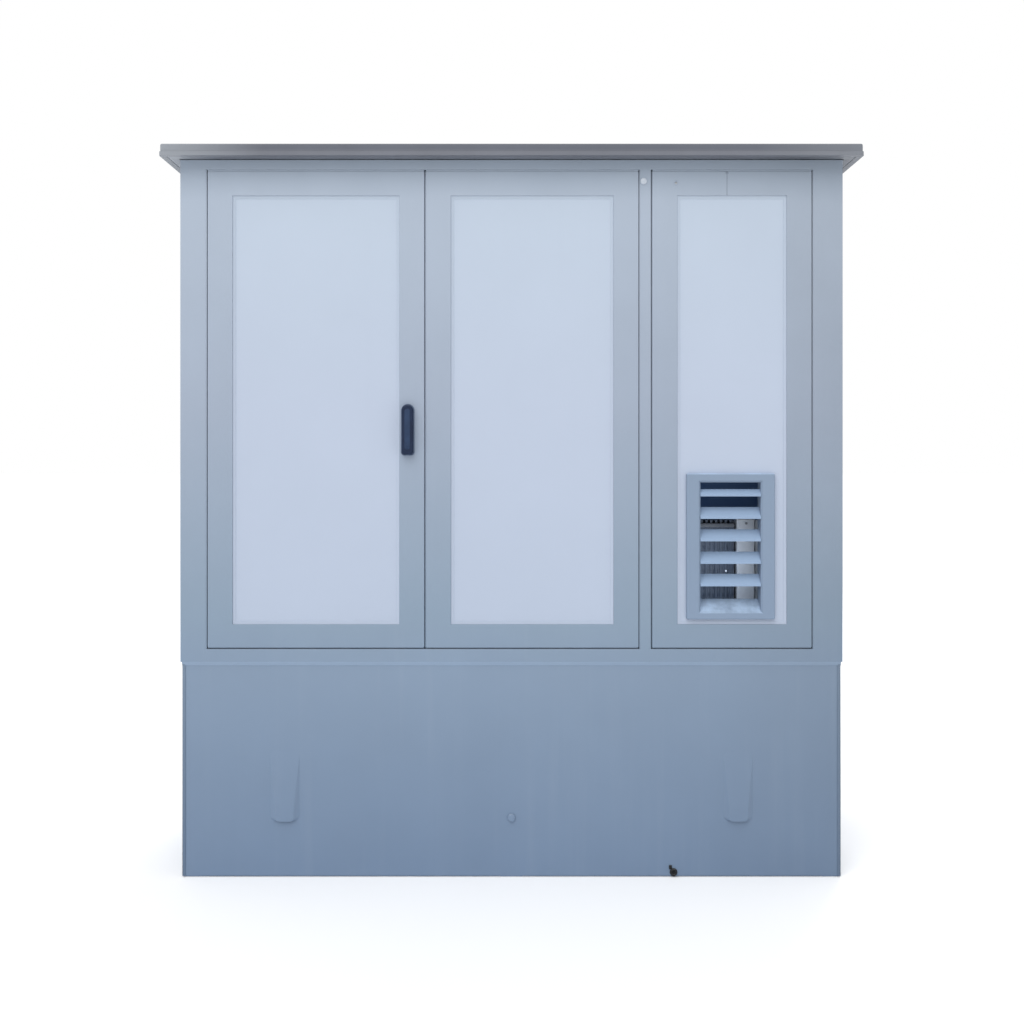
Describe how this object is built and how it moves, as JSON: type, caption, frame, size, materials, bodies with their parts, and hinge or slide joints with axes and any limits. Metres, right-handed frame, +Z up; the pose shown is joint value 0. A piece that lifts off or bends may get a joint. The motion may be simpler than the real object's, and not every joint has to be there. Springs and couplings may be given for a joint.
{
  "type": "roadside utility cabinet",
  "caption": "Free-standing steel roadside cabinet on a tall plinth, with framed doors, a swing handle, a louvre, a flat overhanging roof and equipment bays behind the doors.",
  "frame": {"origin": "on the ground, under the middle of the cabinet", "axes": "+Z up, front towards -Y, +X to the right seen from the front"},
  "size_m": [1.89, 0.69, 2],
  "materials": {
    "blue_grey_paint": "satin powder coat",
    "pale_paint": "satin powder coat",
    "zinc_steel": "zinc plated",
    "bright_steel": "bright",
    "black_plastic": "fine grained",
    "white_plastic": "smooth",
    "grey_plastic": "smooth",
    "rubber_seal": "matt",
    "dark_unit": "textured",
    "dark_aluminium": "black anodised",
    "die_cast": "die cast",
    "brass_bar": "plain",
    "lamp_lens": "clear"
  },
  "bodies": {
    "cabinet": {"plinth_frame": "blue_grey_paint", "plinth_cover": "blue_grey_paint", "plinth_air_hoods": "blue_grey_paint", "plinth_cover_screw": "blue_grey_paint", "front_frame": "blue_grey_paint", "left_side_sheet": "blue_grey_paint", "right_side_sheet": "blue_grey_paint", "back_sheet": "blue_grey_paint", "ceiling_plate": "zinc_steel", "floor_plate": "zinc_steel", "cable_glands": "rubber_seal", "partition": "zinc_steel", "main_rain_gutter": "blue_grey_paint", "right_rain_gutter": "blue_grey_paint", "centre_post": "blue_grey_paint", "mullion_screw": "white_plastic", "roof_cap": "blue_grey_paint", "roof_bearers": "zinc_steel", "frame_hinge_leaves": "zinc_steel", "hinge_pins": "bright_steel", "rack_uprights": "zinc_steel", "rack_units": "dark_unit", "mounting_plate": "zinc_steel", "mounting_rails": "zinc_steel", "terminal_blocks": "grey_plastic", "main_breaker": "grey_plastic", "cable_ducts": "grey_plastic", "earth_bar": "brass_bar", "unit_shelf": "zinc_steel", "finned_power_unit": "dark_aluminium", "white_service_box": "white_plastic", "signal_lamp": "lamp_lens"},
    "left_door": {"left_door_frame": "blue_grey_paint", "left_door_panel": "pale_paint", "left_door_gasket": "rubber_seal", "left_door_hinge_leaves": "zinc_steel", "handle_base": "black_plastic", "lock_gearbox": "die_cast", "rod_guides": "zinc_steel"},
    "handle_turner": {"handle_spindle": "bright_steel"},
    "handle_grip": {"handle_lever": "black_plastic", "handle_pin": "bright_steel"},
    "upper_rod": {"upper_lock_rod": "zinc_steel"},
    "lower_rod": {"lower_lock_rod": "zinc_steel"},
    "middle_door": {"middle_door_frame": "blue_grey_paint", "middle_door_panel": "pale_paint", "middle_door_gasket": "rubber_seal", "middle_door_hinge_leaves": "zinc_steel", "bolt_brackets": "zinc_steel"},
    "upper_bolt": {"upper_slide_bolt": "zinc_steel"},
    "lower_bolt": {"lower_slide_bolt": "zinc_steel"},
    "right_door": {"right_door_frame": "blue_grey_paint", "right_door_panel": "pale_paint", "right_door_gasket": "rubber_seal", "right_door_hinge_leaves": "zinc_steel", "louvre_frame": "blue_grey_paint", "louvre_blades": "blue_grey_paint", "cam_lock_sleeve": "bright_steel"},
    "right_cam": {"cam_lock_cam": "zinc_steel"},
    "toggle": {"breaker_toggle": "black_plastic"}
  },
  "joints": [
    {"name": "left_door_swing", "type": "hinge", "parent": "cabinet", "child": "left_door", "pos_m": [-0.8145, -0.291, 1.2715], "axis": [0, 0, -1], "range_deg": [0, 110]},
    {"name": "handle_turn", "type": "hinge", "parent": "left_door", "child": "handle_turner", "pos_m": [-0.2815, -0.3, 1.268], "axis": [0, 1, 0], "range_deg": [0, 90]},
    {"name": "handle_lift", "type": "hinge", "parent": "handle_turner", "child": "handle_grip", "pos_m": [-0.2815, -0.3129, 1.268], "axis": [-1, 0, 0], "range_deg": [0, 35]},
    {"name": "upper_rod_slide", "type": "slide", "parent": "left_door", "child": "upper_rod", "axis": [0, 0, -1], "range_m": [0, 0.0128]},
    {"name": "lower_rod_slide", "type": "slide", "parent": "left_door", "child": "lower_rod", "axis": [0, 0, 1], "range_m": [0, 0.0128]},
    {"name": "middle_door_swing", "type": "hinge", "parent": "cabinet", "child": "middle_door", "pos_m": [0.334, -0.291, 1.2715], "axis": [0, 0, 1], "range_deg": [0, 110]},
    {"name": "upper_bolt_slide", "type": "slide", "parent": "middle_door", "child": "upper_bolt", "axis": [0, 0, 1], "range_m": [-0.006, 0.014]},
    {"name": "lower_bolt_slide", "type": "slide", "parent": "middle_door", "child": "lower_bolt", "axis": [0, 0, -1], "range_m": [-0.006, 0.014]},
    {"name": "right_door_swing", "type": "hinge", "parent": "cabinet", "child": "right_door", "pos_m": [0.8045, -0.291, 1.2715], "axis": [0, 0, 1], "range_deg": [0, 110]},
    {"name": "right_cam_turn", "type": "hinge", "parent": "right_door", "child": "right_cam", "pos_m": [0.447, -0.3, 1.8865], "axis": [0, 1, 0], "range_deg": [0, 90]},
    {"name": "breaker_switch", "type": "hinge", "parent": "cabinet", "child": "toggle", "pos_m": [0.0565, 0.1925, 1.465], "axis": [1, 0, 0], "range_deg": [0, 80]}
  ],
  "couplings": [
    {"joint": "upper_rod_slide", "follows": "handle_turn", "m_per_rad": 0.008},
    {"joint": "lower_rod_slide", "follows": "handle_turn", "m_per_rad": 0.008}
  ]
}
